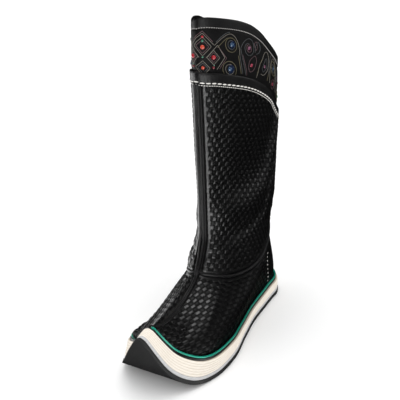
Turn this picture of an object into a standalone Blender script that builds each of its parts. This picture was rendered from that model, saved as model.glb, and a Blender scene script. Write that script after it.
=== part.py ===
import math

import bmesh
import bpy
import numpy as np

# Units and placing. Sizes below are in millimetres: forward from the heel, across and up.
MM = 0.001
MIDDLE = 140.05         # forward position of the origin, half way between shaft back and toe tip
SIDE = 0.99             # shift that centres the swung sole
COLLECTION = "curled_toe_boot"

# Sole
SOLE_LENGTH = 353.0     # along the underside, from the back of the heel to the curled tip
HEEL_RADIUS = 34.0
TIP_HALF = 2.6          # half width of the rounded tip
TIP_PULL = 1.1          # how far an inset outline draws back from the tip
LAYER_GAP = 0.3
WELT_THICK = 3.2
WELT_INSET = 3.0
INSOLE_THICK = 3.0
INSOLE_INSET = 11.6
INSOLE_START = 11.6
INSOLE_END = 246.0
INSOLE_NOSE = 46.0

# Upper
WALL = 2.2
VAMP_INSET = 7.9        # outer face of the vamp inside the edge of the sole
PIPING_INSET = 4.1
PIPING_RADIUS = 1.3
ANKLE_RADIUS = 2.1
CORD_RADIUS = 1.1
CORD_SPREAD = 2.1
LENS = 1.15             # above one the section is pointed at front and back
COLLAR_TOP = 352.2
COLLAR_TALL = 13.5
COLLAR_PROUD = 0.8
RIM_DROP = 112.0        # how much lower the rim is at the back
LINER_DROP = 100.0
LINER_TOP = 412.0
LINER_TALL = 125.0
LINER_INSET = 3.0
CUFF_DIP = 4.5          # the cuff's rim is this much lower on the right beside the front seam
CUFF_DIP_AT = -28.0
CUFF_DIP_WIDE = 20.0
LINER_WALL = 1.8
BINDING_TALL = 11.0
BINDING_PROUD = 0.7

COLUMNS = 48


def rows(names, *values):
    table = np.array(values, dtype=float)
    return {name: table[:, i] for i, name in enumerate(names.split())}


# Slope of the underside, flat under heel and ball, then curling up to the tip
CURL = rows(
    "along slope",
    (0, 0),
    (226, 0),
    (248, 10),
    (265, 26),
    (282, 43),
    (298, 57),
    (316, 68),
    (353, 80),
)

# Half width of the sole, with the heel drawn square before it is rounded, and the swing of
# its middle line to the right-hand side
PLAN = rows(
    "along half swing",
    (0, 34, 0),
    (34, 34, 0),
    (65, 36, 0),
    (100, 39, 0),
    (141, 47, 0),
    (186, 57, 0),
    (218, 59, 1),
    (244, 56, 3.2),
    (262, 51.5, 4.8),
    (280, 43, 4.8),
    (300, 31.5, 3.8),
    (322, 21.5, 2),
    (340, 12, 0.6),
    (349, 6.5, 0.2),
    (353, TIP_HALF, 0),
)

# Thickness of the stacked sole
STACK = rows(
    "along outsole base midsole",
    (0, 4.5, 3.5, 12.5),
    (60, 4.5, 3.5, 10.5),
    (120, 4.5, 3.5, 9.5),
    (200, 5, 4, 15),
    (262, 5, 4, 19),
    (353, 5, 4, 13.5),
)

# Sections of the leg by height: front line, full depth and half width
LEG = rows(
    "up front depth half",
    (60, 181, 172, 39),
    (88, 178, 168, 37),
    (104, 174, 168, 35),
    (122, 166, 168, 33),
    (146, 159.5, 171, 32),
    (200, 159, 180, 31),
    (260, 159.5, 186, 32),
    (324, 160.5, 187, 34),
    (354, 161.5, 187, 34.5),
    (425, 159, 184, 33),
)

# Height of the ankle seam and drop of the rims, by angle from the front
ANKLE = rows(
    "angle up",
    (0, 101.5),
    (30, 95),
    (60, 85),
    (85, 81.5),
    (105, 84.5),
    (130, 95),
    (155, 105),
    (180, 108),
)
RIM = rows(
    "angle drop",
    (0, 0),
    (30, 0.035),
    (45, 0.08),
    (60, 0.145),
    (75, 0.235),
    (90, 0.36),
    (105, 0.51),
    (120, 0.68),
    (135, 0.84),
    (155, 0.96),
    (180, 1),
)
LINER_RIM = rows(
    "angle drop",
    (0, 0.006),
    (10, 0),
    (20, 0.002),
    (30, 0.016),
    (45, 0.056),
    (60, 0.117),
    (75, 0.212),
    (90, 0.36),
    (105, 0.55),
    (120, 0.72),
    (135, 0.86),
    (155, 0.965),
    (180, 1),
)

# Vamp wall from toe to heel: lift off the sole, flare outward, sag of the toe ridge, then rise
# and lean at the ankle. The left-hand side is fuller over the instep.
VAMP_LEFT = rows(
    "place lift flare sag rise lean",
    (0, 78, 0, -72, 60, -52),
    (0.05, 82, 0, -46, 50, -54),
    (0.12, 94, 2, -12, 34, -58),
    (0.22, 102, 6, 0, 26, -58),
    (0.35, 94, 10, 0, 32, -50),
    (0.55, 76, 14, 0, 50, -26),
    (0.8, 66, 18, 0, 58, -6),
    (1, 66, 18, 0, 58, 2),
)
VAMP_RIGHT = rows(
    "place lift flare sag rise lean",
    (0, 78, 0, -72, 60, -52),
    (0.03, 76, -1, 5, 60, -52),
    (0.07, 71, -7, 20, 59, -52),
    (0.12, 65, -13, 19, 58, -37),
    (0.18, 59, -16, 4, 58, -23),
    (0.25, 49, -32, -13, 57, -27),
    (0.35, 49, -19, 0, 55, -44),
    (0.55, 68, 10, 0, 56, -24),
    (0.8, 66, 18, 0, 58, -6),
    (1, 66, 18, 0, 58, 2),
)


def smooth(x_row, y_row, x):
    step = np.diff(x_row)
    rate = np.diff(y_row) / step
    slope = np.concatenate([rate[:1], np.zeros(len(step) - 1), rate[-1:]])
    both = rate[:-1] * rate[1:]
    total = rate[:-1] + rate[1:]
    turn = both > 0
    slope[1:-1][turn] = 2 * both[turn] / total[turn]
    x = np.clip(np.asarray(x, dtype=float), x_row[0], x_row[-1])
    i = np.clip(np.searchsorted(x_row, x) - 1, 0, len(step) - 1)
    t = (x - x_row[i]) / step[i]
    low = y_row[i] * (1 + 2 * t) * (1 - t) ** 2 + slope[i] * step[i] * t * (1 - t) ** 2
    high = y_row[i + 1] * (3 - 2 * t) * t ** 2 + slope[i + 1] * step[i] * t ** 2 * (t - 1)
    return low + high


def place(forward, across, up):
    return np.stack([(across + SIDE) * MM, (MIDDLE - forward) * MM, up * MM + 0 * forward], axis=-1)


# Side view of the underside, run and rise along its length
ALONG = np.linspace(0, SOLE_LENGTH, 1401)
SLOPE = np.radians(smooth(CURL["along"], CURL["slope"], ALONG))
STEP = ALONG[1] - ALONG[0]
RUN = np.concatenate([[0], np.cumsum(np.cos((SLOPE[1:] + SLOPE[:-1]) / 2)) * STEP])
RISE = np.concatenate([[0], np.cumsum(np.sin((SLOPE[1:] + SLOPE[:-1]) / 2)) * STEP])


def sole_point(along, across, level):
    slope = np.interp(along, ALONG, SLOPE)
    forward = np.interp(along, ALONG, RUN) - level * np.sin(slope)
    up = np.interp(along, ALONG, RISE) + level * np.cos(slope)
    return forward, across + 0 * forward, up


def swing(along):
    return smooth(PLAN["along"], PLAN["swing"], along)


def half_width(along, inset):
    radius = HEEL_RADIUS - inset
    half = np.maximum(smooth(PLAN["along"], PLAN["half"], along) - inset, TIP_HALF)
    back = np.clip((along - inset) / radius, 0, 1)
    return half * np.sqrt(1 - (1 - back) ** 2)


def level_top(along, count):
    total = 0.0
    for name in ("outsole", "base", "midsole")[:count]:
        total = total + smooth(STACK["along"], STACK[name], along)
    return total


def welt_top(along):
    return level_top(along, 3) + WELT_THICK


# Closed outline of an inset sole edge, from the tip round one side to the heel
def edge_line(inset):
    turn = np.linspace(0, math.pi / 2, 40)
    heel = inset + (HEEL_RADIUS - inset) * (1 - np.cos(turn))
    tip = SOLE_LENGTH - TIP_PULL * inset
    body = np.linspace(HEEL_RADIUS, tip, 260)[1:]
    along = np.concatenate([heel, body])[::-1]
    across = half_width(along, inset)
    along = np.concatenate([along[:1], along])
    across = np.concatenate([[0], across])
    forward, side, up = sole_point(along, across, welt_top(along))
    path = np.stack([forward, side, up], axis=-1)
    length = np.concatenate([[0], np.cumsum(np.linalg.norm(np.diff(path, axis=0), axis=1))])
    return path, along, length / length[-1]


# Leg surface at an angle from the front, a height and a depth under the outer face
def leg_point(angle, up, depth):
    front = smooth(LEG["up"], LEG["front"], up) - depth
    half_depth = smooth(LEG["up"], LEG["depth"], up) / 2 - depth
    half = smooth(LEG["up"], LEG["half"], up) - depth
    side = np.sin(angle)
    forward = front - half_depth * (1 - np.cos(angle))
    across = half * np.sign(side) * np.abs(side) ** LENS
    return forward, across, up + 0 * forward


def turned(angle):
    return np.degrees(np.abs((angle + math.pi) % (2 * math.pi) - math.pi))


def ankle_height(angle):
    return smooth(ANKLE["angle"], ANKLE["up"], turned(angle))


def rim_height(angle, front):
    return front - RIM_DROP * smooth(RIM["angle"], RIM["drop"], turned(angle))


def liner_height(angle, front):
    share = smooth(LINER_RIM["angle"], LINER_RIM["drop"], turned(angle))
    aside = (np.degrees(angle) - CUFF_DIP_AT + 180) % 360 - 180
    return front - LINER_DROP * share - CUFF_DIP * np.exp(-(aside / CUFF_DIP_WIDE) ** 2)


def vamp_size(name, spot, side):
    left = smooth(VAMP_LEFT["place"], VAMP_LEFT[name], spot)
    right = smooth(VAMP_RIGHT["place"], VAMP_RIGHT[name], spot)
    return np.where(side > 0, left, right)


# Vamp surface: a bowed wall from the edge of the sole to the ankle seam
def vamp_point(angle, rise, depth):
    side = np.where(np.sin(angle) < -1e-9, -1.0, 1.0)
    spot = turned(angle) / 180
    path, along, part = edge_line(VAMP_INSET + depth)
    start = [np.interp(spot, part, path[:, k]) for k in range(3)]
    where = np.interp(spot, part, along)
    slope = np.interp(where, ALONG, SLOPE)
    ahead = np.stack([np.gradient(path[:, k], part) for k in range(3)], axis=-1)
    edge = np.stack([np.interp(spot, part, ahead[:, k]) for k in range(3)], axis=-1)
    run = edge[..., 0] * np.cos(slope) + edge[..., 2] * np.sin(slope)
    size = np.hypot(run, edge[..., 1])
    out_run = edge[..., 1] / size
    out_side = -run / size
    lift = vamp_size("lift", spot, side)
    flare = vamp_size("flare", spot, side)
    out_run = flare * out_run + vamp_size("sag", spot, side)
    grow = vamp_size("rise", spot, side)
    lean = vamp_size("lean", spot, side)
    leave = [
        -lift * np.sin(slope) + out_run * np.cos(slope),
        flare * out_side,
        lift * np.cos(slope) + out_run * np.sin(slope),
    ]
    end = leg_point(angle, ankle_height(angle) - ANKLE_RADIUS - LAYER_GAP, depth)
    arrive = [lean * np.cos(angle), lean * np.sin(angle), grow]
    start[1] = start[1] * side - swing(where)
    leave[1] = leave[1] * side
    t = rise
    point = []
    for k in range(3):
        value = start[k] * (1 + 2 * t) * (1 - t) ** 2 + leave[k] * t * (1 - t) ** 2
        value = value + end[k] * (3 - 2 * t) * t ** 2 + arrive[k] * t ** 2 * (t - 1)
        point.append(value)
    return point


# Points between the outer and inner faces of the vamp
def vamp_wall(angle, rise, depth):
    share = depth / WALL
    outer = vamp_point(angle, rise, 0.0)
    inner = vamp_point(angle, rise, WALL)
    return [a + (b - a) * share for a, b in zip(outer, inner)]


def shaft_point(angle, rise, depth):
    low = ankle_height(angle) + ANKLE_RADIUS + LAYER_GAP
    high = rim_height(angle, COLLAR_TOP - COLLAR_TALL - LAYER_GAP)
    return leg_point(angle, low + (high - low) * rise, depth)


def collar_point(angle, rise, depth):
    return leg_point(angle, rim_height(angle, COLLAR_TOP - COLLAR_TALL * (1 - rise)), depth)


def liner_point(angle, rise, depth):
    high = LINER_TOP - BINDING_TALL - LAYER_GAP
    return leg_point(angle, liner_height(angle, high - LINER_TALL * (1 - rise)), depth)


def binding_point(angle, rise, depth):
    return leg_point(angle, liner_height(angle, LINER_TOP - BINDING_TALL * (1 - rise)), depth)


def make_material(name, colour, roughness):
    material = bpy.data.materials.new(name)
    material.use_nodes = True
    shader = material.node_tree.nodes["Principled BSDF"]
    shader.inputs["Base Color"].default_value = (*colour, 1.0)
    shader.inputs["Roughness"].default_value = roughness
    return material


def add_object(name, mesh_edit, look):
    bmesh.ops.recalc_face_normals(mesh_edit, faces=mesh_edit.faces)
    mesh = bpy.data.meshes.new(name)
    mesh_edit.to_mesh(mesh)
    mesh_edit.free()
    mesh.materials.append(make_material(name, *look))
    thing = bpy.data.objects.new(name, mesh)
    target.objects.link(thing)
    return thing


# A solid ring: a profile of height and depth carried round the leg
def ring(name, surface, profile, look, columns=COLUMNS):
    edit = bmesh.new()
    count = len(profile)
    bmesh.ops.create_grid(edit, x_segments=columns, y_segments=count, size=0.5)
    verts = list(edit.verts)
    grid = np.array([v.co[:2] for v in verts]) + 0.5
    angle = np.round(grid[:, 0] * columns) / columns * 2 * math.pi
    index = np.round(grid[:, 1] * count).astype(int) % count
    shape = np.array(profile, dtype=float)[index]
    spot = place(*surface(angle, shape[:, 0], shape[:, 1]))
    for vert, co in zip(verts, spot):
        vert.co = co
    bmesh.ops.remove_doubles(edit, verts=verts, dist=0.00001)
    return add_object(name, edit, look)


# Rows up the outer face, then down the inner face, closer together at the foot of the wall
def wall_profile(outer, inner, count, crowd=1.0):
    climb = np.linspace(0, 1, count) ** crowd
    return [(v, outer) for v in climb] + [(v, inner) for v in climb[::-1]]


# A plate of the sole between two levels
def plate(name, stations, half, bottom, top, look):
    edit = bmesh.new()
    count = len(stations)
    bmesh.ops.create_grid(edit, x_segments=count - 1, y_segments=1, size=0.5)
    made = bmesh.ops.extrude_face_region(edit, geom=list(edit.faces))
    upper = {v for v in made["geom"] if isinstance(v, bmesh.types.BMVert)}
    for vert in edit.verts:
        along = stations[int(round((vert.co.x + 0.5) * (count - 1)))]
        across = half(along) * (1 if vert.co.y > 0 else -1) - swing(along)
        level = top(along) if vert in upper else bottom(along)
        vert.co = place(*sole_point(along, across, level))
    bmesh.ops.remove_doubles(edit, verts=list(edit.verts), dist=0.00001)
    return add_object(name, edit, look)


def sole_stations(inset):
    turn = np.linspace(0, math.pi / 2, 10)
    heel = inset + (HEEL_RADIUS - inset) * (1 - np.cos(turn))
    flat = np.linspace(HEEL_RADIUS, 226, 17)[1:]
    tip = np.linspace(226, SOLE_LENGTH - TIP_PULL * inset, 27)[1:]
    return np.concatenate([heel, flat, tip])


def sole_layer(name, inset, bottom, top, look):
    stations = sole_stations(inset)
    return plate(name, stations, lambda s: half_width(s, inset), bottom, top, look)


# A round cord along a path
def cord(name, path, radius, closed, look):
    curve = bpy.data.curves.new(name, "CURVE")
    curve.dimensions = "3D"
    curve.bevel_depth = radius * MM
    curve.bevel_resolution = 1
    curve.use_fill_caps = not closed
    line = curve.splines.new("POLY")
    line.points.add(len(path) - 1)
    for point, co in zip(line.points, path):
        point.co = (*co, 1.0)
    line.use_cyclic_u = closed
    thing = bpy.data.objects.new(name, curve)
    target.objects.link(thing)
    bpy.context.view_layer.update()
    solid = bpy.data.meshes.new_from_object(thing.evaluated_get(bpy.context.evaluated_depsgraph_get()))
    bpy.data.objects.remove(thing)
    edit = bmesh.new()
    edit.from_mesh(solid)
    bmesh.ops.remove_doubles(edit, verts=list(edit.verts), dist=0.00001)
    return add_object(name, edit, look)


def even_path(points, count, closed):
    length = np.concatenate([[0], np.cumsum(np.linalg.norm(np.diff(points, axis=0), axis=1))])
    spot = np.linspace(0, length[-1], count + 1)
    if closed:
        spot = spot[:-1]
    return np.stack([np.interp(spot, length, points[:, k]) for k in range(3)], axis=-1)


for old in list(bpy.data.objects):
    bpy.data.objects.remove(old)
target = bpy.data.collections.new(COLLECTION)
bpy.context.scene.collection.children.link(target)

LEATHER = ((0.012, 0.012, 0.013), 0.42)
SMOOTH_LEATHER = ((0.01, 0.01, 0.011), 0.35)
CREAM = ((0.82, 0.76, 0.66), 0.7)
GREY = ((0.5, 0.5, 0.5), 0.7)
RUBBER = ((0.02, 0.02, 0.021), 0.75)
GREEN = ((0.012, 0.27, 0.19), 0.3)
BOARD = ((0.25, 0.19, 0.13), 0.8)

# Sole, from the ground up
sole_layer("outsole", 0.0, lambda s: 0.0, lambda s: level_top(s, 1), RUBBER)
sole_layer("base_strip", 0.8, lambda s: level_top(s, 1) + LAYER_GAP, lambda s: level_top(s, 2), GREY)
sole_layer("midsole", 0.5, lambda s: level_top(s, 2) + LAYER_GAP, lambda s: level_top(s, 3), CREAM)
sole_layer("welt", WELT_INSET, lambda s: level_top(s, 3) + LAYER_GAP, welt_top, SMOOTH_LEATHER)


def insole_half(along):
    nose = np.clip((along - INSOLE_END + INSOLE_NOSE) / INSOLE_NOSE, 0, 1)
    return half_width(along, INSOLE_INSET) * np.sqrt(1 - nose ** 2)


insole_turn = np.linspace(0, math.pi / 2, 9)
insole_stations = np.concatenate([
    INSOLE_START + (HEEL_RADIUS - INSOLE_START) * (1 - np.cos(insole_turn)),
    np.linspace(HEEL_RADIUS, INSOLE_END - INSOLE_NOSE, 12)[1:],
    INSOLE_END - INSOLE_NOSE + INSOLE_NOSE * np.sin(insole_turn)[1:],
])
plate(
    "insole",
    insole_stations,
    insole_half,
    lambda s: welt_top(s) + LAYER_GAP,
    lambda s: welt_top(s) + LAYER_GAP + INSOLE_THICK,
    BOARD,
)

# Vamp, with its lower rim just above the welt
foot_rise = 0.006
vamp_climb = foot_rise + (1 - foot_rise) * np.linspace(0, 1, 11)
vamp_profile = [(v, 0.0) for v in vamp_climb] + [(v, WALL) for v in vamp_climb[::-1]]
ring("vamp", vamp_wall, vamp_profile, LEATHER, 64)

# Shaft, collar, liner and its binding
ring("shaft", shaft_point, wall_profile(0.0, WALL, 10, 1.6), LEATHER)
collar_profile = [
    (0.0, -COLLAR_PROUD),
    (0.86, -COLLAR_PROUD),
    (1.0, 0.2),
    (1.0, WALL - 0.2),
    (0.9, WALL),
    (0.0, WALL),
]
ring("collar_band", collar_point, collar_profile, SMOOTH_LEATHER)
ring("liner", liner_point, wall_profile(LINER_INSET, LINER_INSET + LINER_WALL, 5), LEATHER)
binding_profile = [
    (0.0, LINER_INSET - BINDING_PROUD),
    (0.86, LINER_INSET - BINDING_PROUD),
    (1.0, LINER_INSET + 0.2),
    (1.0, LINER_INSET + LINER_WALL - 0.2),
    (0.9, LINER_INSET + LINER_WALL),
    (0.0, LINER_INSET + LINER_WALL),
]
ring("liner_binding", binding_point, binding_profile, SMOOTH_LEATHER)

# Cord round the lower edge of the vamp
edge_path, edge_along, edge_part = edge_line(PIPING_INSET)
edge_slope = np.interp(edge_along, ALONG, SLOPE)
edge_path[:, 0] -= (PIPING_RADIUS + LAYER_GAP) * np.sin(edge_slope)
edge_path[:, 2] += (PIPING_RADIUS + LAYER_GAP) * np.cos(edge_slope)
edge_far = edge_path[::-1] * np.array([1.0, -1.0, 1.0])
edge_path[:, 1] -= swing(edge_along)
edge_far[:, 1] -= swing(edge_along[::-1])
edge_loop = np.concatenate([edge_path, edge_far[1:]])
edge_loop = even_path(edge_loop, 90, True)
cord("edge_piping", place(*edge_loop.T), PIPING_RADIUS, True, GREEN)

# Cord in the ankle seam
around = np.linspace(0, 2 * math.pi, 721)
seam = np.stack(leg_point(around, ankle_height(around), 0.6), axis=-1)
seam = even_path(seam, 64, True)
cord("ankle_piping", place(*seam.T), ANKLE_RADIUS, True, SMOOTH_LEATHER)

# Two cords down the front seam
cord_low = ankle_height(0.0) + 2 * ANKLE_RADIUS + CORD_RADIUS
cord_high = COLLAR_TOP - COLLAR_TALL - 2.0
for name, side in (("front_cord_left", 1), ("front_cord_right", -1)):
    heights = cord_low + (cord_high - cord_low) * np.linspace(0, 1, 18) ** 1.6
    front = smooth(LEG["up"], LEG["front"], heights) + CORD_RADIUS + 2 * LAYER_GAP
    spread = CORD_SPREAD * (0.7 + 0.3 * np.clip((heights - cord_low) / 30, 0, 1))
    path = place(front, side * spread, heights)
    cord(name, path, CORD_RADIUS, False, SMOOTH_LEATHER)
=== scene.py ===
import math

import bmesh
import bpy
import numpy as np
from mathutils import Matrix, Vector


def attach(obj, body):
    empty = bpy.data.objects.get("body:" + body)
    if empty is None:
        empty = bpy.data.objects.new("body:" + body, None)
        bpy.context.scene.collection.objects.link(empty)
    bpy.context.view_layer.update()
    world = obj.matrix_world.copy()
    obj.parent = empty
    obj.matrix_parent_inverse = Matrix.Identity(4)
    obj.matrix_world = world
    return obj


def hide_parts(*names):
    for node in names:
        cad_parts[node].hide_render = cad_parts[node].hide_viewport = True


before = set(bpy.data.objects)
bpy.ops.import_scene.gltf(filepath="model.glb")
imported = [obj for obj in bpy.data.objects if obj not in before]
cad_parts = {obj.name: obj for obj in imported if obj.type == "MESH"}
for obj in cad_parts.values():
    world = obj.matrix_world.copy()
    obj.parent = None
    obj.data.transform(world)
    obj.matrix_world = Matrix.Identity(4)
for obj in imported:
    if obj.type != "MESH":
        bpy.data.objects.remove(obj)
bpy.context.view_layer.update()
scene = bpy.context.scene
scene.view_settings.view_transform = "Standard"
print("frame loaded,", len(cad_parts), "nodes")

# the boot's own sizes in millimetres: forward from the heel, across to its left, up
boot = {
    "middle": 140.05, "side": 0.99,                    # where the origin of the frame lies
    "soleLength": 353.0, "heelRadius": 34.0, "tipHalf": 2.6, "tipPull": 1.1, "tipNose": 4.0, "flatTo": 226.0,
    "gap": 0.3, "weltThick": 3.2, "weltInset": 3.0, "wall": 2.2,
    "vampInset": 7.9, "ankleRadius": 2.1, "lens": 1.15,
    "collarTop": 352.2, "collarTall": 13.5, "rimDrop": 112.0,
    "linerTop": 412.0, "linerTall": 125.0, "linerDrop": 100.0, "linerInset": 3.0,
    "linerWall": 1.8, "bindingTall": 11.0, "cuffDip": 4.5, "cuffDipAt": -28.0, "cuffDipWide": 20.0,
}


def chart(names, *rows):
    grid = np.array(rows, dtype=float)
    return {name: grid[:, i] for i, name in enumerate(names.split())}


curl = chart(
    "along slope",
    (0, 0), (boot["flatTo"], 0), (248, 10), (265, 26), (282, 43), (298, 57), (316, 68), (353, 80),
)
plan = chart(
    "along half swing",
    (0, 34, 0), (34, 34, 0), (65, 36, 0), (100, 39, 0), (141, 47, 0), (186, 57, 0), (218, 59, 1),
    (244, 56, 3.2), (262, 51.5, 4.8), (280, 43, 4.8), (300, 31.5, 3.8), (322, 21.5, 2), (340, 12, 0.6),
    (349, 6.5, 0.2), (353, boot["tipHalf"], 0),
)
stack = chart(
    "along outsole base midsole",
    (0, 4.5, 3.5, 12.5), (60, 4.5, 3.5, 10.5), (120, 4.5, 3.5, 9.5), (200, 5, 4, 15), (262, 5, 4, 19),
    (353, 5, 4, 13.5),
)
leg = chart(
    "up front depth half",
    (60, 181, 172, 39), (88, 178, 168, 37), (104, 174, 168, 35), (122, 166, 168, 33), (146, 159.5, 171, 32),
    (200, 159, 180, 31), (260, 159.5, 186, 32), (324, 160.5, 187, 34), (354, 161.5, 187, 34.5),
    (425, 159, 184, 33),
)
ankle = chart(
    "angle up",
    (0, 101.5), (30, 95), (60, 85), (85, 81.5), (105, 84.5), (130, 95), (155, 105), (180, 108),
)
rim = chart(
    "angle drop",
    (0, 0), (30, 0.035), (45, 0.08), (60, 0.145), (75, 0.235), (90, 0.36), (105, 0.51), (120, 0.68),
    (135, 0.84), (155, 0.96), (180, 1),
)
linerRim = chart(
    "angle drop",
    (0, 0.006), (10, 0), (20, 0.002), (30, 0.016), (45, 0.056), (60, 0.117), (75, 0.212), (90, 0.36),
    (105, 0.55), (120, 0.72), (135, 0.86), (155, 0.965), (180, 1),
)
vampSide = {
    1: chart(
        "place lift flare sag rise lean",
        (0, 78, 0, -72, 60, -52), (0.05, 82, 0, -46, 50, -54), (0.12, 94, 2, -12, 34, -58),
        (0.22, 102, 6, 0, 26, -58), (0.35, 94, 10, 0, 32, -50), (0.55, 76, 14, 0, 50, -26),
        (0.8, 66, 18, 0, 58, -6), (1, 66, 18, 0, 58, 2),
    ),
    -1: chart(
        "place lift flare sag rise lean",
        (0, 78, 0, -72, 60, -52), (0.03, 76, -1, 5, 60, -52), (0.07, 71, -7, 20, 59, -52),
        (0.12, 65, -13, 19, 58, -37), (0.18, 59, -16, 4, 58, -23), (0.25, 49, -32, -13, 57, -27),
        (0.35, 49, -19, 0, 55, -44), (0.55, 68, 10, 0, 56, -24), (0.8, 66, 18, 0, 58, -6),
        (1, 66, 18, 0, 58, 2),
    ),
}


def readChart(rows, key, name, at):                    # smooth line through a chart's column, no overshoot
    x, y = rows[key], rows[name]
    step = np.diff(x)
    rate = np.diff(y) / step
    slope = np.concatenate([rate[:1], np.zeros(len(step) - 1), rate[-1:]])
    both = rate[:-1] * rate[1:]
    total = rate[:-1] + rate[1:]
    turn = both > 0
    slope[1:-1][turn] = 2 * both[turn] / total[turn]
    at = np.clip(np.asarray(at, dtype=float), x[0], x[-1])
    i = np.clip(np.searchsorted(x, at) - 1, 0, len(step) - 1)
    t = (at - x[i]) / step[i]
    low = y[i] * (1 + 2 * t) * (1 - t) ** 2 + slope[i] * step[i] * t * (1 - t) ** 2
    high = y[i + 1] * (3 - 2 * t) * t ** 2 + slope[i + 1] * step[i] * t ** 2 * (t - 1)
    return low + high


# side view of the underside
walk = np.linspace(0, boot["soleLength"], 1401)
tilt = np.radians(readChart(curl, "along", "slope", walk))
stride = walk[1] - walk[0]
runOut = np.concatenate([[0], np.cumsum(np.cos((tilt[1:] + tilt[:-1]) / 2)) * stride])
riseUp = np.concatenate([[0], np.cumsum(np.sin((tilt[1:] + tilt[:-1]) / 2)) * stride])


def solePoint(along, across, level):
    slope = np.interp(along, walk, tilt)
    forward = np.interp(along, walk, runOut) - level * np.sin(slope)
    up = np.interp(along, walk, riseUp) + level * np.cos(slope)
    return forward, across + 0 * forward, up


def swing(along):
    return readChart(plan, "along", "swing", along)


def halfWidth(along, inset):
    half = np.maximum(readChart(plan, "along", "half", along) - inset, boot["tipHalf"])
    back = np.clip((along - inset) / (boot["heelRadius"] - inset), 0, 1)
    return half * np.sqrt(1 - (1 - back) ** 2)


def stackTop(along, count):
    total = 0.0
    for name in ("outsole", "base", "midsole")[:count]:
        total = total + readChart(stack, "along", name, along)
    return total


def weltTop(along):
    return stackTop(along, 3) + boot["weltThick"]


def lengthAlong(path):
    return np.concatenate([[0], np.cumsum(np.linalg.norm(np.diff(path, axis=0), axis=1))])


def edgeLine(inset):                                   # rim of an inset sole, tip to heel on one side
    turn = np.linspace(0, math.pi / 2, 40)
    heel = inset + (boot["heelRadius"] - inset) * (1 - np.cos(turn))
    body = np.linspace(boot["heelRadius"], boot["soleLength"] - boot["tipPull"] * inset, 260)[1:]
    along = np.concatenate([heel, body])[::-1]
    across = np.concatenate([[0], halfWidth(along, inset)])
    along = np.concatenate([along[:1], along])
    path = np.stack(solePoint(along, across, weltTop(along)), axis=-1)
    length = lengthAlong(path)
    return path, along, length / length[-1]


def fadeIn(low, high, x):
    t = np.clip((x - low) / (high - low), 0, 1)
    return t * t * (3 - 2 * t)


def bell(x, at, wide, power=2):                        # a soft hump, 1 at its middle
    return np.exp(-((x - at) / wide) ** power)


def turned(angle):                                     # degrees from the front, either way
    return np.degrees(np.abs((angle + math.pi) % (2 * math.pi) - math.pi))


def degreesFrom(angle, at):                            # degrees round from a direction, either sign
    return (np.degrees(angle) - at + 180) % 360 - 180


# slouch of the leg: rolls that lean in on their upper side, and a bulge over the ankle
rollLine = chart("angle up", (0, 181), (70, 181), (98, 189), (111, 215), (130, 245))
rolls = chart(
    "side lift wide deep below above",
    (1, 0, 14, 4.5, 40, 80), (1, -50, 7, 1.8, 25, 30), (-1, -8, 12, 3, 36, 70), (-1, -46, 7, 1.6, 25, 30),
)
bulge = {"angle": -40.0, "reach": 45.0, "up": 102.0, "tall": 15.0, "out": 3.5}
slack = {"front": (15, 45), "back": (112, 150)}        # degrees over which the rolls fade to the seams


def slouch(angle, up):
    away = turned(angle)
    hold = fadeIn(*slack["front"], away) * (1 - fadeIn(*slack["back"], away))
    total = 0.0
    for side, lift, wide, deep, below, above in zip(*rolls.values()):
        x = up - readChart(rollLine, "angle", "up", away) - lift
        shape = 0.5 * fadeIn(-below - wide, -wide, x) - fadeIn(-wide, wide, x)
        shape = shape + 0.5 * fadeIn(wide, wide + above, x)
        total = total + deep * shape * hold * (np.sin(angle) * side > 0)
    aside = degreesFrom(angle, bulge["angle"]) / bulge["reach"]
    spot = np.clip(1 - aside ** 2, 0, 1) ** 2 * bell(up, bulge["up"], bulge["tall"])
    return total + bulge["out"] * spot


def legPoint(angle, up, depth):
    front = readChart(leg, "up", "front", up) - depth
    halfDepth = readChart(leg, "up", "depth", up) / 2 - depth
    half = readChart(leg, "up", "half", up) - depth
    side, out = np.sin(angle), slouch(angle, up)
    forward = front - halfDepth * (1 - np.cos(angle)) + out * np.cos(angle)
    across = half * np.sign(side) * np.abs(side) ** boot["lens"] + out * side
    return forward, across, up + 0 * forward


def ankleUp(angle):
    return readChart(ankle, "angle", "up", turned(angle))


def rimUp(angle, front, drop, rows=rim):
    return front - drop * readChart(rows, "angle", "drop", turned(angle))


def vampPoint(angle, rise, depth):
    side = np.where(np.sin(angle) < -1e-9, -1.0, 1.0)
    spot = turned(angle) / 180

    def size(name):
        return np.where(side > 0, *(readChart(vampSide[k], "place", name, spot) for k in (1, -1)))

    path, along, part = edgeLine(boot["vampInset"] + depth)
    start = [np.interp(spot, part, path[:, k]) for k in range(3)]
    where = np.interp(spot, part, along)
    slope = np.interp(where, walk, tilt)
    ahead = [np.interp(spot, part, np.gradient(path[:, k], part)) for k in range(3)]
    run = ahead[0] * np.cos(slope) + ahead[2] * np.sin(slope)
    long = np.hypot(run, ahead[1])
    lift, flare = size("lift"), size("flare")
    outRun = flare * ahead[1] / long + size("sag")
    leave = [
        -lift * np.sin(slope) + outRun * np.cos(slope),
        -flare * run / long * side,
        lift * np.cos(slope) + outRun * np.sin(slope),
    ]
    end = legPoint(angle, ankleUp(angle) - boot["ankleRadius"] - boot["gap"], depth)
    arrive = [size("lean") * np.cos(angle), size("lean") * np.sin(angle), size("rise")]
    start[1] = start[1] * side - swing(where)
    t = rise
    return tuple(
        start[k] * (1 + 2 * t) * (1 - t) ** 2 + leave[k] * t * (1 - t) ** 2
        + end[k] * (3 - 2 * t) * t ** 2 + arrive[k] * t ** 2 * (t - 1)
        for k in range(3)
    )


def shaftPoint(angle, rise, depth):
    low = ankleUp(angle) + boot["ankleRadius"] + boot["gap"]
    high = rimUp(angle, boot["collarTop"] - boot["collarTall"] - boot["gap"], boot["rimDrop"])
    return legPoint(angle, low + (high - low) * rise, depth)


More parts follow.
